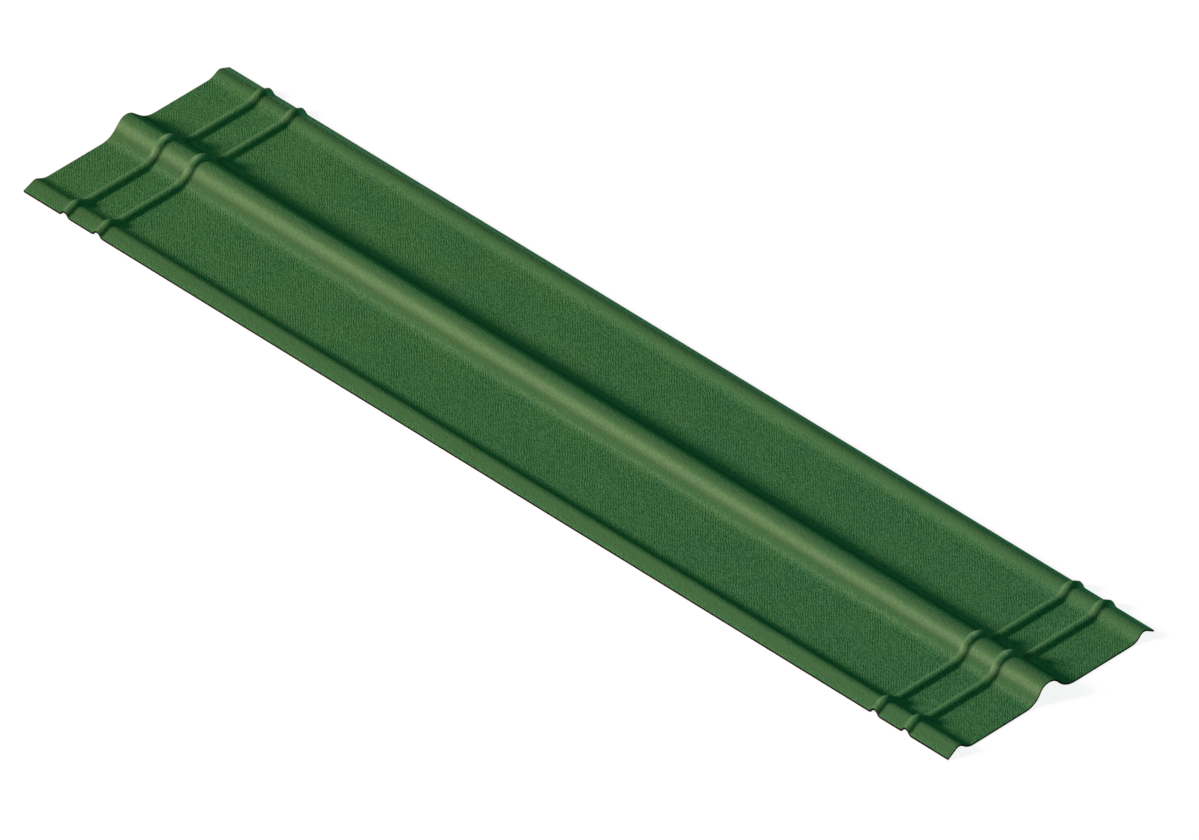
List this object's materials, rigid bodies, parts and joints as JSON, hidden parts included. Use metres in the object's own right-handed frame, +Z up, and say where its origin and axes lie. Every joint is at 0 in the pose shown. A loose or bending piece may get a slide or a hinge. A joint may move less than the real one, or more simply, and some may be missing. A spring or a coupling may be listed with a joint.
{
  "type": "roof ridge cap",
  "caption": "Long ridge cover for corrugated roofing: round centre roll between two flat wings, turned lips along both long edges, cross ribs near both ends.",
  "frame": {"origin": "under the middle of the cap, at the level that the wings rest on", "axes": "+X along the ridge, +Y across it, +Z up out of the roof"},
  "size_m": [2, 0.444, 0.0393],
  "materials": {
    "pigmented_fibre_board": "matt, finely mottled green bitumen-soaked fibre board; the cut edges and the underside are darker"
  },
  "bodies": {
    "root": {"ridge_cap": "pigmented_fibre_board"}
  },
  "joints": []
}
